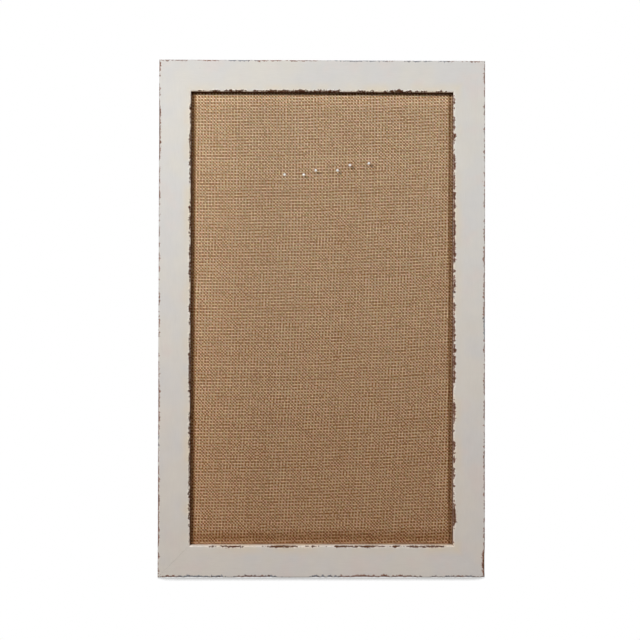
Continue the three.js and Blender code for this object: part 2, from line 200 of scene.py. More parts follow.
def linear(red, green, blue):
    """An 8-bit screen colour as the linear colour that shaders take."""
    shares = (channel / 255 for channel in (red, green, blue))
    return tuple(s / 12.92 if s <= 0.04045 else ((s + 0.055) / 1.055) ** 2.4 for s in shares)


def colour(label, note, *screen):
    """A colour property, with its default as an 8-bit screen colour."""
    return FloatVectorProperty(
        name=label, description=note, subtype="COLOR", size=3, min=0, max=1, default=linear(*screen)
    )


def quantity(label, note, default, unit="NONE"):
    return FloatProperty(name=label, description=note, unit=unit, default=default)


def length(label, note, default):
    """A length property, with its default in millimetres."""
    return quantity(label, note, default * MM, "LENGTH")


class BoardFrameLook(PropertyGroup):
    """Paint, stain and wear of the four rails."""

    paint: colour("Paint", "Off-white paint on the rails", 217, 213, 205)
    cool_paint: colour("Cool paint", "Paint where it is cooler", 213, 211, 208)
    blush: colour("Blush", "Paint where the undercoat tints it", 219, 209, 203)
    # Painted shade: makes the paint darker and warmer towards the foot.
    low_shade: colour("Low tint", "Warmer tone of the paint towards the foot", 250, 245, 243)
    yellowed: colour("Yellowed paint", "Paint that has yellowed round the sight", 221, 211, 193)
    undercoat: colour("Undercoat", "Coat that shows at the rim of the wear", 150, 114, 100)
    cold_coat: colour("Cold coat", "Undercoat where it is greyer", 140, 142, 148)
    stain: colour("Stain", "Dark stained wood under the paint", 90, 55, 42)
    bare: colour("Bare wood", "Stained wood of the back and the rabbet", 104, 74, 52)
    station: length("Station", "Distance between two sections along a rail", 1.7)


class BoardLinenLook(PropertyGroup):
    """Yarns and lay of the cloth."""

    pale: colour("Pale yarn", "Lightest yarns", 236, 213, 178)
    dark: colour("Dark yarn", "Darkest yarns", 146, 92, 40)
    # The gap colour is darker than the cork there: partly the cork, partly painted shade between
    # the yarns.
    gap: colour("Gap", "What shows between the yarns", 80, 52, 31)
    fleck: colour("Fleck", "Bits of bark spun into the yarns", 84, 62, 46)
    warp_pitch: length("Warp pitch", "From one upright yarn to the next", 2.16)
    weft_pitch: length("Weft pitch", "From one level yarn to the next", 2.2)
    # Painted shade: makes the cloth darker and warmer towards the foot.
    low_shade: colour("Low tint", "Deeper tone of the foot, which has faded least", 223, 206, 194)
    # Painted shade: darkens the cloth along the stiles and the foot, where the rails shade it.
    edge_shade_tint: colour("Grime", "Tint of the stain rubbed off on the cloth's border", 205, 186, 166)
    hem: length("Hem", "Cloth turned on to the back of the cork", 28)


class BoardHardwareLook(PropertyGroup):
    """Pins, metal, board and felt."""

    pearl: colour("Pin heads", "Moulded pin heads", 253, 252, 249)
    steel: colour("Steel", "Needles, points, nails and screws", 186, 188, 190)
    zinc: colour("Zinc", "Plated straps and rings", 170, 171, 167)
    cork: colour("Cork", "Cork sheet", 178, 136, 92)
    bark: colour("Bark", "Dark granules in the cork", 86, 56, 36)
    hardboard: colour("Hardboard", "Pressed back board", 112, 76, 50)
    felt: colour("Felt", "Bumpers", 92, 78, 66)


class BoardStageLook(PropertyGroup):
    """Lamps, floor and white room."""

    key_power: quantity("Key", "Lamp at the upper left", 48.4, "POWER")
    fill_power: quantity("Fill", "Lamp at the upper right", 25.6, "POWER")
    back_power: quantity("Back", "Lamp behind the board", 30, "POWER")
    lamp_size: length("Lamp size", "Side of each square lamp", 380)
    ambient: quantity("Ambient", "Soft light from all round", 0.02)
    floor: colour("Floor", "Floor as it throws light back", 120, 114, 106)
    contact_rim: colour("Contact rim", "Floor where the contact shade ends", 216, 216, 216)
    contact: colour("Contact shade", "Floor against the frame", 184, 183, 181)


class BoardLook(PropertyGroup):
    """All the looks of the board."""

    frame: PointerProperty(type=BoardFrameLook)
    linen: PointerProperty(type=BoardLinenLook)
    hardware: PointerProperty(type=BoardHardwareLook)
    stage: PointerProperty(type=BoardStageLook)


# Finishes


def worked(operation, swapped=False):
    """A method that adds a math node between a signal and the other side of an operator."""

    def work(self, other):
        return self.nodes.math(operation, *((other, self) if swapped else (self, other)))

    return work


class Signal:
    """A value in a node tree that plain arithmetic can work on."""

    __add__, __radd__ = worked("ADD"), worked("ADD", swapped=True)
    __sub__, __rsub__ = worked("SUBTRACT"), worked("SUBTRACT", swapped=True)
    __mul__, __rmul__ = worked("MULTIPLY"), worked("MULTIPLY", swapped=True)
    __truediv__ = worked("DIVIDE")

    def __init__(self, nodes, socket):
        self.nodes = nodes
        self.socket = socket


class Nodes:
    """A node tree, built node by node."""

    def __init__(self, tree):
        self.tree = tree

    def put(self, socket, value):
        """Links a socket to a signal or an output, or sets it to a colour, a vector or a number."""
        if isinstance(value, Signal):
            value = value.socket
        if isinstance(value, bpy.types.NodeSocket):
            self.tree.links.new(value, socket)
        elif hasattr(value, "__len__"):
            socket.default_value = (*value, 1) if len(socket.default_value) == 4 else tuple(value)
        else:
            socket.default_value = value

    def node(self, kind, inputs=None, **settings):
        """A new node, with its settings made before its inputs are filled."""
        made = self.tree.nodes.new(kind)
        for key, value in settings.items():
            setattr(made, key, value)
        for key, value in (inputs or {}).items():
            self.put(made.inputs[key], value)
        return made

    def signal(self, kind, output, inputs=None, **settings):
        return Signal(self, self.node(kind, inputs, **settings).outputs[output])

    def math(self, operation, *values):
        return self.signal("ShaderNodeMath", 0, dict(enumerate(values)), operation=operation)


class Finish(Nodes):
    """One procedural material, in millimetres of the piece's own space."""

    def __init__(self, name):
        self.material = bpy.data.materials.new(name)
        self.material.use_nodes = True
        super().__init__(self.material.node_tree)
        self.shader = self.tree.nodes["Principled BSDF"]
        place = self.node("ShaderNodeTexCoord").outputs["Object"]
        scaled = self.node("ShaderNodeVectorMath", {0: place, "Scale": 1 / MM}, operation="SCALE")
        self.place = scaled.outputs["Vector"]
        parts = self.node("ShaderNodeSeparateXYZ", {0: self.place}).outputs
        self.x, self.y, self.z = (Signal(self, part) for part in parts)

    def vector(self, x, y, z):
        return self.node("ShaderNodeCombineXYZ", {0: x, 1: y, 2: z}).outputs[0]

    def noise(self, scale, place=None, detail=2.0, stretch=None):
        """Cloudy noise from 0 to 1, with its scale in turns for each millimetre."""
        where = place or self.place
        if stretch:
            inputs = {0: where, 1: stretch}
            where = self.node("ShaderNodeVectorMath", inputs, operation="MULTIPLY").outputs[0]
        inputs = {"Vector": where, "Scale": scale, "Detail": detail}
        return self.signal("ShaderNodeTexNoise", 0, inputs)

    def sway(self, scale, amount, **options):
        """Cloudy noise about 0, over a range of a given amount."""
        return (self.noise(scale, **options) - 0.5) * amount

    def chance(self, number):
        """A fixed random value from 0 to 1 for each whole number."""
        return self.signal("ShaderNodeTexWhiteNoise", "Value", {"W": number}, noise_dimensions="1D")

    def drawn(self, column, row):
        """A fixed random colour for each crossing of a column and a row."""
        inputs = {"Vector": self.vector(column, row, 0.0)}
        return self.node("ShaderNodeTexWhiteNoise", inputs, noise_dimensions="2D").outputs["Color"]

    def lot(self, column, row, draws=1):
        """Fixed random values about 0 for each crossing of a column and a row."""
        inputs = {0: self.drawn(column, row)}
        return [self.signal("ShaderNodeSeparateColor", k, inputs) - 0.5 for k in range(draws)]

    def grains(self, scale):
        """Scattered cells: the distance from a cell's middle, and a fixed random value for each."""
        cell = self.node("ShaderNodeTexVoronoi", {"Vector": self.place, "Scale": scale})
        draw = self.signal("ShaderNodeSeparateColor", 0, {0: cell.outputs["Color"]})
        return Signal(self, cell.outputs["Distance"]), draw

    def step(self, value, low, high):
        """Rises smoothly from 0 at low to 1 at high."""
        inputs = {"Value": value, "From Min": low, "From Max": high}
        return self.signal("ShaderNodeMapRange", 0, inputs, interpolation_type="SMOOTHSTEP")

    def fade(self, value, low, high):
        """Falls smoothly from 1 at low to 0 at high."""
        return 1 - self.step(value, low, high)

    def mix(self, share, first, second, blend_type="MIX"):
        """A colour between two others."""
        inputs = {0: share, 6: first, 7: second}
        made = self.node("ShaderNodeMix", inputs, data_type="RGBA", blend_type=blend_type)
        return made.outputs[2]

    def blend(self, share, first, second):
        """A value between two others."""
        inputs = {0: share, 2: first, 3: second}
        return self.signal("ShaderNodeMix", 0, inputs, data_type="FLOAT")

    def tint(self, base, other):
        """A colour multiplied by another."""
        return self.mix(1.0, base, other, "MULTIPLY")

    def wash(self, base, share, other):
        """A colour multiplied by another as far as a share goes."""
        return self.tint(base, self.mix(share, WHITE, other))

    def shade(self, base, factor):
        """A colour made lighter or darker by a factor."""
        return self.tint(base, self.vector(factor, factor, factor))

    def attribute(self, name):
        return self.signal("ShaderNodeAttribute", "Fac", attribute_name=name)

    def bump(self, height, strength=1.0):
        """Relief from a height in millimetres."""
        inputs = {"Height": height, "Distance": MM, "Strength": strength}
        self.put(self.shader.inputs["Normal"], self.node("ShaderNodeBump", inputs).outputs[0])

    def set(self, **sockets):
        """Fills the shader's sockets, named as in base_color, and gives the material."""
        for key, value in sockets.items():
            self.put(self.shader.inputs[key.replace("_", " ").title().replace("Ior", "IOR")], value)
        return self.material


def painted_wood(name, look, along, cold):
    """Off-white paint over an undercoat and a dark stain, rubbed through where the mesh says so."""
    finish = Finish(name)
    run = tuple(0.05 if axis == along else 1 for axis in range(3))
    brush = finish.noise(1.6, stretch=run)
    cloud = finish.noise(0.016, detail=3)
    blush = finish.noise(0.03, detail=3)
    rubbed = finish.attribute("rubbed") + (finish.sway(0.5, 7) + finish.sway(0.15, 1.2))
    bare = finish.step(rubbed, 0, 0.2)
    grey = finish.step(finish.noise(0.02) + cold, 0.5, 0.6)
    undercoat = finish.mix(grey, look.undercoat, look.cold_coat)
    paint = aged_paint(finish, look, rubbed, brush, cloud, blush)
    spot, lot = finish.grains(0.03)
    speck = finish.fade(spot, 0.012, 0.026) * finish.step(lot, 0.7, 0.71)
    paint = finish.mix(speck * 0.55, paint, undercoat)
    grain = finish.noise(1.1, detail=4, stretch=run)
    fibre = finish.noise(4, stretch=run)
    stained = finish.mix(finish.step(grain, 0.35, 0.68), look.stain, look.bare)
    stained = finish.shade(stained, 0.72 + fibre * 0.5)
    left = finish.attribute("undercoat") * 2.4
    deep = finish.step(rubbed + finish.sway(0.45, 6) - left, -0.2, 0.7)
    under = finish.mix(deep, finish.shade(undercoat, 0.75 + blush * 0.5), stained)
    finish.bump((1 - bare) * 0.14 + brush * 0.03 + bare * (grain * 0.12 + fibre * 0.05), 0.7)
    return finish.set(
        base_color=finish.mix(bare, paint, under),
        roughness=0.5 + bare * 0.25 + cloud * 0.08,
        specular_ior_level=0.5 - bare * 0.42,
    )


def aged_paint(finish, look, rubbed, brush, cloud, blush):
    """Paint in cooler and pinker clouds and yellowed round the sight, with painted highlights along
    the sight edge, on the sight walls and at the rim of the wear, and painted shade that makes it
    darker and warmer towards the foot."""
    paint = finish.mix(finish.step(cloud, 0.35, 0.65), look.paint, look.cool_paint)
    paint = finish.mix(finish.step(blush, 0.5, 0.75) * 0.6, paint, look.blush)
    inwards = finish.math("ABSOLUTE", finish.x - FRAME_MIDDLE.x) + SIGHT_LEFT
    upright = finish.math("ABSOLUTE", finish.z - FRAME_MIDDLE.z) - SIGHT_HEIGHT / 2
    from_sight = finish.math("MAXIMUM", inwards, upright)
    yellowed = finish.fade(from_sight, 2, 17) * finish.step(blush + cloud, 0.75, 1.2)
    paint = finish.mix(yellowed * 0.95, paint, look.yellowed)
    # Painted highlights: paler along the sight edge, much paler on the sight walls, and paler at
    # the rim of the wear.
    edge_highlight = finish.fade(from_sight, 0.9, 2.8)
    wall = finish.fade(from_sight, 0.1, 0.7)
    lip = finish.step(rubbed, -1.7, -0.4) * finish.fade(from_sight, 3, 5)
    # Painted shade: the paint turns darker and warmer towards the foot.
    low = finish.step(FRAME_HIGH.z - finish.z, 60, 690)
    paint = finish.wash(paint, low, look.low_shade)
    patchy = finish.sway(0.055, 0.07, detail=3)
    tone = 0.94 + brush * 0.09 + patchy + edge_highlight * 0.08 + lip * 0.24 + wall * 0.36
    return finish.shade(paint, tone)


def coarse_linen(look):
    """Plain weave of uneven natural yarns with slubs and flecks; painted shade darkens its gaps,
    its border along the stiles and the foot, and its lower part, and painted light brightens its
    top and left edges.
    """
    finish = Finish("coarse_linen")
    drop = SIGHT_TOP - finish.z
    reach = finish.x - SIGHT_LEFT
    sway = finish.sway(0.011, 3) + finish.sway(0.06, 0.5)
    wave = finish.sway(0.013, 2.4, stretch=(1, 1, 1.6)) + finish.sway(0.07, 0.5)
    warp_at = (finish.x + drop * drop * WARP_BOW + sway) / (look.warp_pitch / MM)
    weft_at = (finish.z - reach * reach * WEFT_BOW + wave) / (look.weft_pitch / MM)
    end, pick = (finish.math("FLOOR", at) for at in (warp_at, weft_at))
    rise, tone = weave(finish, warp_at, weft_at, end, pick)
    fuzz = finish.noise(3.5, detail=3)
    low = drop / SIGHT_HEIGHT
    # Partly painted shade: the weave's contrast grows towards the foot, as the yarns shade one
    # another more there.
    thread = finish.mix(tone * (0.88 + low * 0.51) + 0.072 - low * 0.232, look.dark, look.pale)
    thread = finish.wash(thread, 0.12, finish.drawn(end, pick))
    # Painted light: the cloth is lighter near its top and along its left side.
    border = finish.fade(drop, 6, 24) * 0.13 + finish.fade(reach, 6, 110) * 0.14
    thread = finish.shade(thread, 0.907 + fuzz * 0.14 + border)
    # Painted shade: the cloth turns darker and warmer towards the foot.
    thread = finish.wash(thread, low, look.low_shade)
    fleck = finish.step(finish.noise(0.16, detail=4, stretch=(1, 1, 3)), 0.72, 0.78)
    thread = finish.mix(fleck * 0.6, thread, look.fleck)
    # Painted shade along the stiles and the foot, in the edge shade tint.
    thread = finish.wash(thread, painted_edge_shade(finish, drop, reach), look.edge_shade_tint)
    finish.bump(rise * 0.5 + fuzz * 0.05)
    # Painted shade: the cloth darkens to the gap colour where the yarns dip away between one
    # another.
    base = finish.mix(finish.fade(rise, 0.12, 0.6), thread, look.gap)
    return finish.set(base_color=base, roughness=0.92, specular_ior_level=0.15, sheen_weight=0.05)


def weave(finish, warp_at, weft_at, end, pick):
    """Height and tone of the yarn on top, with each crossing's tone set off from its neighbours'
    and every second end and pick paler."""
    warp_rise, warp_tone = yarn(finish, warp_at, weft_at, finish.z, 1)
    weft_rise, weft_tone = yarn(finish, weft_at, warp_at, finish.x, -1)
    over = finish.math("GREATER_THAN", warp_rise, weft_rise)
    rise = finish.math("MAXIMUM", warp_rise, weft_rise)
    tone = finish.blend(over, weft_tone, warp_tone)
    fair = finish.lot(end, pick)[0]
    for aside, ahead in ((1, 0), (-1, 0), (0, 1), (0, -1)):
        fair -= finish.lot(end + aside, pick + ahead)[0] * 0.23
    tone += fair * 0.66 + finish.sway(0.05, 0.2, detail=3)
    tone += finish.math("SINE", weft_at * math.pi) * 0.3
    tone += finish.math("SINE", warp_at * math.pi) * 0.24
    # Painted shade: this diagonal tone stands in for the shading that light from the upper left
    # gives the raised yarns.
    tone += finish.math("COSINE", (warp_at + weft_at) * math.pi) * 0.15
    return rise, tone


def yarn(finish, at, crossing, run, side):
    """One set of yarns, the warp where side is 1 and the weft where it is -1: its height over the
    cloth's middle and its tone."""
    number = finish.math("FLOOR", at)
    across = finish.math("FRACT", at) - 0.5
    along = finish.math("FRACT", crossing) - 0.5
    lane = finish.vector(number * LANE_STEP, run * LANE_RUN, side * LANE_APART)
    slub = finish.noise(1, lane) - 0.5
    column, row = number + side * PLUMP_SEED, finish.math("FLOOR", crossing)
    plump, proud = finish.lot(column, row, draws=2)
    half = YARN_HALF + (finish.chance(column) - 0.5) * 0.06 + slub * 0.1 + plump * 0.06
    share = (across - along * (YARN_SKEW * side)) / half
    bulge = finish.math("SQRT", finish.math("MAXIMUM", 1 - share * share, 0))
    parity = finish.math("COSINE", number * math.pi)
    lift = 0.5 + parity * finish.math("SINE", crossing * math.pi) * (0.5 * side)
    streak = (finish.chance(number - side * STREAK_SEED) - 0.5) * 0.2
    streak += finish.sway(1.7, 0.62, place=lane, detail=3)
    return bulge * lift * (1 + proud * 0.1), 0.47 - side * 0.3 + streak


def painted_edge_shade(finish, drop, reach):
    """Where the cloth is darkened as painted shade: in a ragged line along the two stiles, where
    the rails' shadows fall on it, and a broad soft one along the foot."""
    ragged = finish.sway(0.5, 0.8)
    left = finish.fade(reach + ragged, 5.2, 6.4)
    to_right = SIGHT_WIDTH - reach
    right = finish.fade(to_right + ragged, 5.5, 6.6) * (0.3 + 0.7 * finish.step(to_right, 0.5, 3.5))
    to_foot = SIGHT_HEIGHT - drop
    foot = finish.fade(to_foot, 8, 27) * (0.35 + 0.65 * finish.step(to_foot, 0, 9))
    return finish.math("MAXIMUM", finish.math("MAXIMUM", left, right), foot * 0.75)


def metal(name, base, roughness, streak=(1, 1, 1)):
    """Plain metal with faint drawing lines, dulled in patches."""
    finish = Finish(name)
    lines = finish.noise(2.5, detail=3, stretch=streak)
    patch = finish.noise(0.25, detail=3)
    tint = finish.shade(base, 0.86 + patch * 0.2 + lines * 0.08)
    finish.bump(lines * 0.015 + patch * 0.01)
    return finish.set(base_color=tint, metallic=1, roughness=roughness - 0.08 + patch * 0.16)


def pearl(look):
    """Glossy moulded head with a faint cloudiness."""
    finish = Finish("moulded_pearl")
    cloud = finish.noise(0.9)
    finish.bump(cloud * 0.01)
    return finish.set(
        base_color=finish.shade(look.pearl, 0.97 + cloud * 0.05),
        roughness=0.16,
        specular_ior_level=1,
        coat_weight=1,
        coat_roughness=0.1,
        coat_ior=1.8,
    )


def cork(look):
    """Pressed cork granules."""
    finish = Finish("pressed_cork")
    rim, lot = finish.grains(0.45)
    grit = finish.noise(1.4, detail=4)
    tint = finish.shade(look.cork, 0.62 + lot * 0.45 + grit * 0.25)
    tint = finish.mix(finish.step(lot, 0.9, 0.92), tint, look.bark)
    finish.bump(grit * 0.15 - rim * 0.2)
    return finish.set(base_color=tint, roughness=0.9)


def hardboard(look):
    """Pressed fibre board whose back keeps the print of the press screen."""
    finish = Finish("pressed_hardboard")
    fibre = finish.noise(0.5, detail=5)
    cloud = finish.noise(0.02, detail=3)
    turns = 2 * math.pi / 2.4
    rows = finish.math("SINE", (finish.x + finish.z) * turns)
    columns = finish.math("SINE", (finish.x - finish.z) * turns)
    screen = finish.math("MAXIMUM", rows, columns)
    tint = finish.shade(look.hardboard, 0.55 + fibre * 0.55 + cloud * 0.3 + screen * 0.06)
    finish.bump(screen * 0.12 + fibre * 0.1)
    return finish.set(base_color=tint, roughness=0.82)


def felt(look):
    """Dense matted fibres."""
    finish = Finish("dense_felt")
    mat = finish.noise(2.2, detail=5)
    clump = finish.noise(0.5, detail=3)
    finish.bump(mat * 0.3 + clump * 0.15)
    tint = finish.shade(look.felt, 0.55 + mat * 0.6 + clump * 0.3)
    return finish.set(base_color=tint, roughness=1, sheen_weight=0.3)


# Meshes and pieces


def box_of(node):
    """The two corners of a solid's box and its middle, in millimetres."""
    low, high = (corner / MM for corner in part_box(node))
    return low, high, (low + high) / 2


def rough(place, layers):
    """Noise at a place, added up over layers of a size, a share and a seed."""
    return sum(noise.noise(place / size + Vector(seed)) * share for size, share, seed in layers)


def mesh_of(name, places, faces):
    mesh = bpy.data.meshes.new(name)
    mesh.from_pydata([tuple(place) for place in places], [], faces)
    return mesh


def cast(shape, mesh):
    """Stores a working shape in a mesh and frees it."""
    shape.to_mesh(mesh)
    shape.free()
    return mesh


def facing_out(mesh):
    """A closed mesh with all its faces turned outwards."""
    shape = bmesh.new()
    shape.from_mesh(mesh)
    bmesh.ops.recalc_face_normals(shape, faces=shape.faces)
    return cast(shape, mesh)


def smooth(mesh, degrees=35):
    """Shades a mesh smooth, with its folds over an angle kept sharp."""
    mesh.polygons.foreach_set("use_smooth", [True] * len(mesh.polygons))
    mesh.set_sharp_from_angle(angle=math.radians(degrees))
    return mesh


def piece(name, mesh, material, body, slot, *nodes):
    """A finished piece that stands for its solids and rides on their body."""
    made = bpy.data.objects.new(name, mesh)
    bpy.context.scene.collection.objects.link(made)
    mesh.materials.clear()
    mesh.materials.append(material)
    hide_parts(*nodes)
    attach(made, body)
    return made


def copy_of(node, grow=0.0):
    """A solid's own mesh as a working shape, welded, with its points moved out along normals."""
    shape = bmesh.new()
    shape.from_mesh(frame["nodes"][node].data)
    bmesh.ops.remove_doubles(shape, verts=shape.verts, dist=0.002 * MM)
    bmesh.ops.recalc_face_normals(shape, faces=shape.faces)
    shape.normal_update()
    if grow:
        for vert in shape.verts:
            vert.co += vert.normal * vert.calc_shell_factor() * grow * MM
    return shape


def softened(node, ease):
    """A solid's shape with its sharp edges rounded."""
    shape = copy_of(node)
    flat, fold = math.radians(1), math.radians(40)
    bmesh.ops.dissolve_limit(shape, angle_limit=flat, verts=shape.verts, edges=shape.edges)
    folds = [edge for edge in shape.edges if edge.calc_face_angle(0) > fold]
    rounding = {"segments": 2, "profile": 0.5, "affect": "EDGES", "clamp_overlap": True}
    bmesh.ops.bevel(shape, geom=folds, offset=ease * MM, **rounding)
    return smooth(cast(shape, bpy.data.meshes.new(node + "_soft")))


def turned(name, profile, centre, sides=40):
    """A round piece about the line through centre along Y, from points of radius and depth."""
    places, faces, rings = [], [], []
    for radius, depth in profile:
        start = len(places)
        count = 1 if radius == 0 else sides
        for k in range(count):
            turn = 2 * math.pi * k / sides
            offset = Vector((radius * math.cos(turn), depth, radius * math.sin(turn)))
            places.append((Vector(centre) + offset) * MM)
        rings.append((start, count))
    for (first, n), (second, m) in zip(rings, rings[1:]):
        for k in range(sides):
            ahead = (k + 1) % sides
            corners = (first + k % n, second + k % m, second + ahead % m, first + ahead % n)
            faces.append(tuple(dict.fromkeys(corners)))
    return smooth(mesh_of(name, places, faces))


def carved(mesh, cutter):
    """A mesh with another cut out of it."""
    body = bpy.data.objects.new("carve_body", mesh)
    tool = bpy.data.objects.new("carve_tool", cutter)
    for thing in (body, tool):
        bpy.context.scene.collection.objects.link(thing)
    work = body.modifiers.new("carve", "BOOLEAN")
    work.operation = "DIFFERENCE"
    work.solver = "EXACT"
    work.object = tool
    bpy.context.view_layer.update()
    seen = body.evaluated_get(bpy.context.evaluated_depsgraph_get())
    done = bpy.data.meshes.new_from_object(seen)
    for thing in (body, tool):
        bpy.data.objects.remove(thing)
    return done


# Rails


def arc(across, rise, radius, start, end, turns=4):
    """Points of a round edge in a rail's section, between two angles in degrees."""
    angles = (math.radians(start + (end - start) * k / turns) for k in range(turns + 1))
    return [(across + radius * math.cos(a), rise + radius * math.sin(a)) for a in angles]


def rail_section():
    """Points round a rail's section, across from its outer edge and up from its back, with close
    rows where the edges wear."""
    face, depth = FACE_WIDTH, FRAME_DEPTH
    section = [(across, 0) for across in (1.8, 3, 4.5, 7, 12, 24)]
    section += [(BACK_WIDTH, rise) for rise in (0, 5, 10.5, LEDGE_RISE)]
    section += [(face, rise) for rise in (LEDGE_RISE, 18.5, 20.5, 22, 23)]
    section += arc(face - SIGHT_EASING, depth - SIGHT_EASING, SIGHT_EASING, 0, 90)
    section += [(face - inset, depth) for inset in (2.3, 2.9, 3.6, 4.4, 5.4, 7, 12, 22)]
    section += [(across, depth) for across in (12, 7, 5, 3.8, 3, 2.3)]
    section += arc(OUTER_EASING, depth - OUTER_EASING, OUTER_EASING, 90, 180)
    section += [(0, rise) for rise in (23, 22, 20.5, 17, 9, 4, 2)]
    section += arc(BACK_EASING, BACK_EASING, BACK_EASING, 180, 270, 3)
    return section


class Worn:
    """How far a side's paint is rubbed at a point of it, in millimetres: above 0 it is gone. Points
    lie across from the side's outer edge, up from its back and along it from its middle."""

    def __init__(self, side):
        out_x, out_z = side.out
        half = (FRAME_HIGH - FRAME_LOW) / 2
        self.edge = FRAME_MIDDLE + Vector((out_x * half.x, 0, out_z * half.z))
        self.across = Vector((-out_x, 0, -out_z))
        self.forward = Vector((0, -1, 0))
        self.along = self.across.cross(self.forward)
        self.run = (FRAME_HIGH - FRAME_LOW).dot(Vector(map(abs, self.along)))
        self.side = side
        self.edges = (
            (side.outer, side.outer.inset, OUTER_EASING, 0),
            (side.sight, FACE_WIDTH - side.sight.inset, SIGHT_EASING, FACE_WIDTH),
        )

    def share(self, wear, spot):
        """How much of the edge the wear takes at a spot of it."""
        place = spot.dot(Vector(map(abs, self.along)))
        more = (
            extra * max(0, 1 - ((place - middle) / half) ** 2) for middle, half, extra in wear.spots
        )
        return wear.share + max(more, default=0)

    def at(self, across, rise, along):
        """The rubbing, and the share of undercoat in it."""
        rubbed, coat = -WEAR_SPAN, 0.5
        for wear, place, easing, corner in self.edges:
            round_off = 0 if wear.inset else easing * (math.sqrt(2) - 1)
            gap = math.hypot(across - place, rise - FRAME_DEPTH) - round_off
            if gap > WEAR_SPAN:
                continue
            spot = self.edge + self.across * place + self.along * along
            to_corner = self.run / 2 - corner - abs(along)
            calm = min(1, max(0, (to_corner - CALM_START) / CALM_SPAN)) if corner else 1
            bite = max(0, rough(spot, BITES) + self.share(wear, spot)) ** BITE_POWER * calm
            found = wear.reach * bite - gap if bite > 0 else -gap - 1
            if found > rubbed:
                rubbed, coat = found, wear.coat
        wall_top = FRAME_DEPTH - SIGHT_EASING
        if rise < 1:
            rubbed = max(rubbed, across - BACK_PAINT)
        elif across > BACK_WIDTH - 0.1 and rise < wall_top:
            rubbed = max(rubbed, wall_top - rise - self.side.wall)
            coat = self.side.wall_coat
        return rubbed, coat

    def mark(self, mesh):
        """Stores the rubbing on a mesh, for its finish."""
        found = []
        for vert in mesh.vertices:
            offset = vert.co / MM - self.edge
            axes = (self.across, self.forward, self.along)
            found.append(self.at(*(offset.dot(axis) for axis in axes)))
        for name, values in zip(("rubbed", "undercoat"), zip(*found)):
            mesh.attributes.new(name, "FLOAT", "POINT").data.foreach_set("value", values)


def rail_mesh(name, worn, station):
    """A mitred rail swept from its section, with its front edges worn down in real hollows."""
    section = rail_section()
    count = round(worn.run / station)
    places = []
    for k in range(count + 1):
        for across, rise in section:
            share = 2 * k / count - 1
            along = share * (worn.run / 2 - across - worn.side.mitre[share > 0])
            rubbed = max(0, worn.at(across, rise, along)[0]) if rise > LEDGE_RISE else 0
            inward = min(HOLLOW_MOST, HOLLOW_SHARE * rubbed) / math.sqrt(2)
            u = across + (inward if across < FACE_WIDTH / 2 else -inward)
            spot = worn.edge + worn.across * u + worn.forward * (rise - inward) + worn.along * along
            places.append(spot * MM)
    rows = len(section)
    faces = []
    for k in range(count):
        this, following = k * rows, (k + 1) * rows
        for j in range(rows):
            ahead = (j + 1) % rows
            faces.append((this + j, this + ahead, following + ahead, following + j))
    faces.append(tuple(range(rows - 1, -1, -1)))
    faces.append(tuple(range(count * rows, (count + 1) * rows)))
    return facing_out(mesh_of(name + "_sweep", places, faces))


def rail_slots(name):
    """What is driven into a rail, grown by a little room."""
    word = name.split("_")[0]
    nodes = [node for node in frame["nodes"] if node.startswith("v_nail_") and "_" + word in node]
    nodes += [node for node in frame["nodes"] if node.startswith("framer_point_" + word)]
    nodes += [node for node in frame["nodes"] if node == word + "_hanger_screw"]
    slots = bmesh.new()
    for node in nodes:
        shape = copy_of(node, SLOT_ROOM)
        if node.startswith("v_nail_"):
            for vert in shape.verts:
                if vert.co.y >= NAIL_SLOT_FLOOR * MM:
                    vert.co.y = NAIL_SLOT_MOUTH * MM
        slots.from_mesh(cast(shape, bpy.data.meshes.new(node + "_slot")))
    return cast(slots, bpy.data.meshes.new(name + "_slots"))


class BOARD_OT_rails(Operator):
    """Makes the four rails, worn at their front edges"""

    bl_idname = "board.rails"
    bl_label = "Rails"

    def execute(self, context):
        look = context.scene.board.frame
        woods = {name: painted_wood(name, look, *wood) for name, wood in WOODS.items()}
        for name, side in SIDES.items():
            worn = Worn(side)
            mesh = carved(rail_mesh(name, worn, look.station / MM), rail_slots(name))
            worn.mark(mesh)
            smooth(mesh, 40)
            piece("worn_" + name, mesh, woods[side.wood], "board", "painted_wood", name)
        return {"FINISHED"}


# Linen


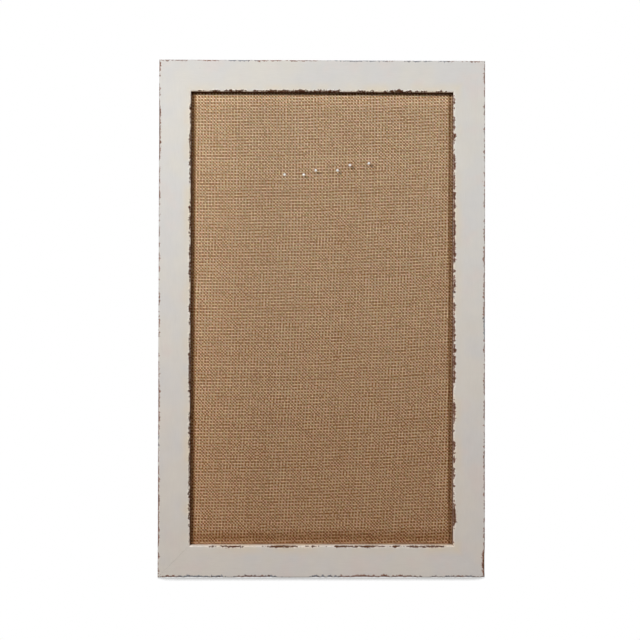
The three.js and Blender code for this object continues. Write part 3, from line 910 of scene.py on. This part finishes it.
def linen_mesh(hem):
    """The cloth's outer side: its face, its turned edges and the hems on the back, cut apart at the
    corners."""
    half, middle = (LINEN_HIGH - LINEN_LOW) / 2, (LINEN_HIGH + LINEN_LOW) / 2
    wide, tall = half.x - CLOTH_TURN, half.z - CLOTH_TURN
    columns, rows = round(2 * half.x / CLOTH_GRID), round(2 * half.z / CLOTH_GRID)
    across, up = np.linspace(-wide, wide, columns + 1), np.linspace(-tall, tall, rows + 1)
    low, high = LINEN_LOW.y, LINEN_HIGH.y
    places, faces = [], []

    def put(x, depth, z):
        places.append(Vector((middle.x + x, depth, middle.z + z)) * MM)
        return len(places) - 1

    def strip(first, second):
        for k in range(len(first) - 1):
            faces.append((first[k + 1], first[k], second[k], second[k + 1]))

    lines = [[put(x, low + rough(Vector((x, 0, z)), SWELLS), z) for x in across] for z in up]
    for below, above in zip(lines, lines[1:]):
        strip(below[::-1], above[::-1])

    # The rim of the face, from the lower left corner round to it again.
    rim = lines[0] + [line[-1] for line in lines[1:]]
    rim += lines[-1][-2::-1] + [line[0] for line in lines[-2::-1]]
    flat = [(x, -tall) for x in across] + [(wide, z) for z in up[1:]]
    flat += [(x, tall) for x in across[-2::-1]] + [(-wide, z) for z in up[-2::-1]]

    corner = CLOTH_TURN * (1 - math.sqrt(0.5))
    path = [(corner, low + corner), (0, low + CLOTH_TURN), (0, (low + high) / 2)]
    path += [(0, high - CLOTH_TURN), (corner, high - corner), (CLOTH_TURN, high)]
    for inset, depth in path:
        wider, taller = (half.x - inset) / wide, (half.z - inset) / tall
        fresh = [put(x * wider, depth, z * taller) for x, z in flat[:-1]]
        fresh.append(fresh[0])
        strip(rim, fresh)
        rim = fresh

    begin = 0
    for steps, level in ((columns, True), (rows, False)) * 2:
        side = slice(begin, begin + steps + 1)
        begin += steps
        before = rim[side]
        long_half, short_half = (wide, tall) if level else (tall, wide)
        for step in (*HEM_ROWS, hem):
            squeeze = (long_half - step - HEM_SLIT) / long_half
            inner = (short_half - step) / short_half
            shrink_x, shrink_z = (squeeze, inner) if level else (inner, squeeze)
            fresh = [put(x * shrink_x, high, z * shrink_z) for x, z in flat[side]]
            strip(before, fresh)
            before = fresh
    return mesh_of("linen_cover_sheet", places, faces)


class BOARD_OT_linen(Operator):
    """Stretches the coarse linen over the cork and turns its hems on to the back"""

    bl_idname = "board.linen"
    bl_label = "Linen"

    def execute(self, context):
        look = context.scene.board.linen
        hem = look.hem / MM
        mesh = smooth(linen_mesh(hem), 60)
        cloth = piece("stretched_linen", mesh, coarse_linen(look), "board", "linen", "linen_cover")
        thick = cloth.modifiers.new("cloth_thickness", "SOLIDIFY")
        thick.thickness = CLOTH_THICKNESS * MM
        thick.offset = -1
        return {"FINISHED"}


# Hardware


class BOARD_OT_backing(Operator):
    """Finishes the cork sheet and the hardboard back"""

    bl_idname = "board.backing"
    bl_label = "Cork and hardboard"

    def execute(self, context):
        look = context.scene.board.hardware
        sheet = frame["nodes"]["cork_sheet"]
        sheet.data.materials.clear()
        sheet.data.materials.append(cork(look))
        mesh = softened("hardboard_back", 0.35)
        piece("pressed_back", mesh, hardboard(look), "board", "hardboard", "hardboard_back")
        return {"FINISHED"}


def pin_meshes(body):
    """A pin's head, a ball with a neck, and its needle."""
    low, high, centre = box_of(body + "_head")
    radius = (high.y - low.y) / 2
    turns = np.linspace(0, math.pi * 0.86, 22)[1:]
    ball = [(0, -radius)] + [(radius * math.sin(a), -radius * math.cos(a)) for a in turns]
    neck = ((0.82, 0.965), (0.74, 1.05), (0.62, 1.08), (0, 1.08))
    ball += [(across, radius * depth) for across, depth in neck]
    head = turned(body + "_ball", ball, centre)
    low, high, _ = box_of(body + "_needle")
    shaft, long = (high.x - low.x) / 2, high.y - low.y
    outline = [(0, 0), (shaft * 0.85, 0), (shaft, 0.12)]
    tip = ((1, 2.5), (0.8, 1.4), (0.35, 0.35), (0, 0))
    outline += [(shaft * share, long - back) for share, back in tip]
    return head, turned(body + "_shaft", outline, (centre.x, low.y, centre.z), 20)


class BOARD_OT_pins(Operator):
    """Makes the six pins, each a moulded head with a neck and a needle"""

    bl_idname = "board.pins"
    bl_label = "Pins"

    def execute(self, context):
        look = context.scene.board.hardware
        gloss = pearl(look)
        steel = metal("needle_steel", look.steel, 0.3, (1.0, 0.1, 1.0))
        for number in range(1, 7):
            body = f"pin_{number}"
            head, needle = pin_meshes(body)
            piece(body + "_pearl", head, gloss, body, "pearl", body + "_head")
            piece(body + "_steel", needle, steel, body, "bright_steel", body + "_needle")
        return {"FINISHED"}


class BOARD_OT_fixings(Operator):
    """Finishes the framer's points and the V-nails"""

    bl_idname = "board.fixings"
    bl_label = "Points and nails"

    def execute(self, context):
        look = context.scene.board.hardware
        steel = metal("stamped_steel", look.steel, 0.42, (0.4, 1.0, 0.4))
        for node in frame["nodes"]:
            if node.startswith(("framer_point_", "v_nail_")):
                mesh = softened(node, 0.12)
                piece("stamped_" + node, mesh, steel, "board", "bright_steel", node)
        return {"FINISHED"}


def recess(centre, top):
    """A cross-shaped driver recess, narrowing as it goes in."""
    wide, slim, deep = 1.75, 0.42, 1.5
    cross = [(slim, wide), (slim, slim), (wide, slim), (wide, -slim), (slim, -slim), (slim, -wide)]
    cross += [(-x, -z) for x, z in cross]
    places = []
    for share, above in ((1.15, 0.6), (0.45, -deep)):
        for x, z in cross:
            places.append(Vector((centre.x + x * share, top + above, centre.z + z * share)) * MM)
    count = len(cross)
    faces = [tuple(range(count)), tuple(range(2 * count - 1, count - 1, -1))]
    for k in range(count):
        ahead = (k + 1) % count
        faces.append((k, count + k, count + ahead, ahead))
    return facing_out(mesh_of("driver_recess", places, faces))


def screw_mesh(node):
    """A round-headed wood screw with a pointed end and a driver recess."""
    low, high, centre = box_of(node)
    head, shank = (high.x - low.x) / 2, 1.75
    tip_end, top = low.y + 4, high.y
    seat = top - 2.4
    outline = [(0, low.y), (shank / 2, (low.y + tip_end) / 2), (shank, tip_end), (shank, seat)]
    outline += [(head - 0.3, seat), (head, seat + 0.25), (head, seat + 1)]
    dome = ((0.94, 0.85), (0.8, 0.4), (0.55, 0.1), (0.3, 0), (0, 0))
    outline += [(head * share, top - below) for share, below in dome]
    blank = turned(node + "_turned", outline, (centre.x, 0, centre.z), 36)
    return smooth(carved(blank, recess(centre, top)))


class BOARD_OT_hangers(Operator):
    """Makes the folded straps, the D-rings and the screws"""

    bl_idname = "board.hangers"
    bl_label = "Hangers"

    def execute(self, context):
        look = context.scene.board.hardware
        plate = metal("zinc_strap", look.zinc, 0.4, (0.3, 1.0, 1.0))
        wire = metal("zinc_wire", look.zinc, 0.34)
        steel = metal("screw_steel", look.steel, 0.36)
        for side in ("left", "right"):
            node = side + "_hanger_strap"
            piece("folded_" + node, softened(node, 0.16), plate, "board", "zinc_plate", node)
            node = side + "_hanger_ring"
            mesh = smooth(cast(copy_of(node), bpy.data.meshes.new(node + "_wire")), 80)
            ring = piece("bent_" + node, mesh, wire, side + "_ring", "zinc_plate", node)
            round_off = ring.modifiers.new("round_wire", "SUBSURF")
            round_off.levels = round_off.render_levels = 1
            node = side + "_hanger_screw"
            piece("driven_" + node, screw_mesh(node), steel, "board", "bright_steel", node)
        return {"FINISHED"}


def bumper_mesh(node):
    """A felt disc with a soft rim and an uneven nap."""
    low, high, centre = box_of(node)
    radius, tall = (high.x - low.x) / 2, high.y - low.y
    seat = ((0, 0), (0.5, 0), (0.97, 0), (1, 0.2), (1, tall * 0.5))
    rim = ((0.985, 0.5), (0.93, 0.15), (0.85, 0), (0.7, 0), (0.5, 0), (0.3, 0), (0, 0))
    outline = [(radius * share, above) for share, above in seat]
    outline += [(radius * share, tall - below) for share, below in rim]
    mesh = turned(node + "_disc", outline, (centre.x, low.y, centre.z), 48)
    for vert in mesh.vertices:
        if vert.co.y > 0.1 * MM:
            nap = 0.5 + noise.noise(vert.co / MM * 0.9)
            vert.co.y -= nap * 0.12 * MM
    return mesh


class BOARD_OT_bumpers(Operator):
    """Makes the two felt bumpers"""

    bl_idname = "board.bumpers"
    bl_label = "Bumpers"

    def execute(self, context):
        finish = felt(context.scene.board.hardware)
        for node in ("left_bumper", "right_bumper"):
            piece("felt_" + node, bumper_mesh(node), finish, "board", "felt", node)
        return {"FINISHED"}


# Stage


def lamp(name, place, aim, watts, size):
    """A square lamp that faces a point."""
    light = bpy.data.lights.new(name, "AREA")
    light.shape = "SQUARE"
    light.size = size
    light.energy = watts
    made = bpy.data.objects.new(name, light)
    made.location = place
    made.rotation_mode = "QUATERNION"
    made.rotation_quaternion = (Vector(aim) - Vector(place)).to_track_quat("-Z", "Y")
    bpy.context.scene.collection.objects.link(made)


def seen_directly(nodes):
    """1 where the camera, a reflection or a clear piece looks straight at a surface."""
    rays = nodes.node("ShaderNodeLightPath").outputs
    seen = nodes.math("MAXIMUM", rays["Is Camera Ray"], rays["Is Glossy Ray"])
    return nodes.math("MAXIMUM", seen, rays["Is Transmission Ray"])


def white_world(look):
    """A room that is white to look at and throws only a little light on the board."""
    world = bpy.data.worlds.new("white_room")
    bpy.context.scene.world = world
    world.use_nodes = True
    nodes = Nodes(world.node_tree)
    inputs = {"Value": seen_directly(nodes), "To Min": look.ambient}
    background = nodes.tree.nodes["Background"].inputs
    nodes.put(background["Color"], WHITE)
    nodes.put(background["Strength"], nodes.signal("ShaderNodeMapRange", 0, inputs))


def pale_floor(look):
    """A floor that reads as white, with the soft shade that the frame leaves where it stands."""
    finish = Finish("pale_floor")
    finish.set(base_color=look.floor, roughness=0.9)
    near = finish.node("ShaderNodeAmbientOcclusion", {"Distance": CONTACT_REACH}, samples=16)
    open_air = Signal(finish, near.outputs["AO"])
    shade = finish.mix(finish.step(open_air, 0.52, 0.63), look.contact, look.contact_rim)
    behind = finish.step(finish.y, -FRAME_DEPTH, -FRAME_DEPTH + 2)
    from_middle = finish.math("ABSOLUTE", finish.x - FRAME_MIDDLE.x)
    aside = finish.step(from_middle, FRAME_HIGH.x, FRAME_HIGH.x + 1.5)
    beside = finish.math("MAXIMUM", behind, aside)
    lit = finish.math("MAXIMUM", finish.step(open_air, 0.71, 0.74), beside)
    glow = finish.node("ShaderNodeEmission", {"Color": finish.mix(lit, shade, WHITE)}).outputs[0]
    inputs = {0: seen_directly(finish), 1: finish.shader.outputs[0], 2: glow}
    both = finish.node("ShaderNodeMixShader", inputs).outputs[0]
    finish.put(finish.tree.nodes["Material Output"].inputs["Surface"], both)
    signs = ((-1, -1), (1, -1), (1, 1), (-1, 1))
    corners = [(x * FLOOR_REACH, y * FLOOR_REACH, FRAME_LOW.z * MM) for x, y in signs]
    mesh = mesh_of("studio_floor", corners, [(0, 1, 2, 3)])
    mesh.materials.append(finish.material)
    made = bpy.data.objects.new("studio_floor", mesh)
    bpy.context.scene.collection.objects.link(made)


class BOARD_OT_stage(Operator):
    """Sets the camera, the lamps, the white room and the floor"""

    bl_idname = "board.stage"
    bl_label = "Stage"

    def execute(self, context):
        scene = context.scene
        look = scene.board.stage
        camera = bpy.data.cameras.new("front_camera")
        camera.lens = 50
        camera.sensor_width = 36
        made = bpy.data.objects.new("front_camera", camera)
        made.location = CAMERA_PLACE
        made.rotation_euler = CAMERA_TURN
        scene.collection.objects.link(made)
        scene.camera = made
        scene.view_settings.view_transform = "Standard"
        aim = (0, 0, FRAME_MIDDLE.z * MM)
        for name, place in LAMPS.items():
            lamp(name + "_lamp", place, aim, getattr(look, name + "_power"), look.lamp_size)
        white_world(look)
        pale_floor(look)
        return {"FINISHED"}


# Add-on


class BOARD_PT_sidebar(Panel):
    """Lists what makes the board"""

    bl_idname = "BOARD_PT_sidebar"
    bl_label = "Bulletin board"
    bl_space_type = "VIEW_3D"
    bl_region_type = "UI"
    bl_category = "Board"

    def draw(self, context):
        for operator in OPERATORS:
            self.layout.operator(operator.bl_idname)
        for group in (getattr(context.scene.board, name) for name in BoardLook.__annotations__):
            box = self.layout.box()
            for name in type(group).__annotations__:
                box.prop(group, name)


OPERATORS = (
    BOARD_OT_stage,
    BOARD_OT_rails,
    BOARD_OT_linen,
    BOARD_OT_backing,
    BOARD_OT_pins,
    BOARD_OT_fixings,
    BOARD_OT_hangers,
    BOARD_OT_bumpers,
)
GROUPS = (BoardFrameLook, BoardLinenLook, BoardHardwareLook, BoardStageLook, BoardLook)
CLASSES = (*GROUPS, *OPERATORS, BOARD_PT_sidebar)


def register():
    for kind in CLASSES:
        bpy.utils.register_class(kind)
    bpy.types.Scene.board = PointerProperty(type=BoardLook)


def unregister():
    del bpy.types.Scene.board
    for kind in reversed(CLASSES):
        bpy.utils.unregister_class(kind)


def main():
    register()
    bpy.ops.board.stage()
    bpy.ops.board.rails()
    bpy.ops.board.linen()
    bpy.ops.board.backing()
    bpy.ops.board.pins()
    bpy.ops.board.fixings()
    bpy.ops.board.hangers()
    bpy.ops.board.bumpers()


if __name__ == "__main__":
    main()
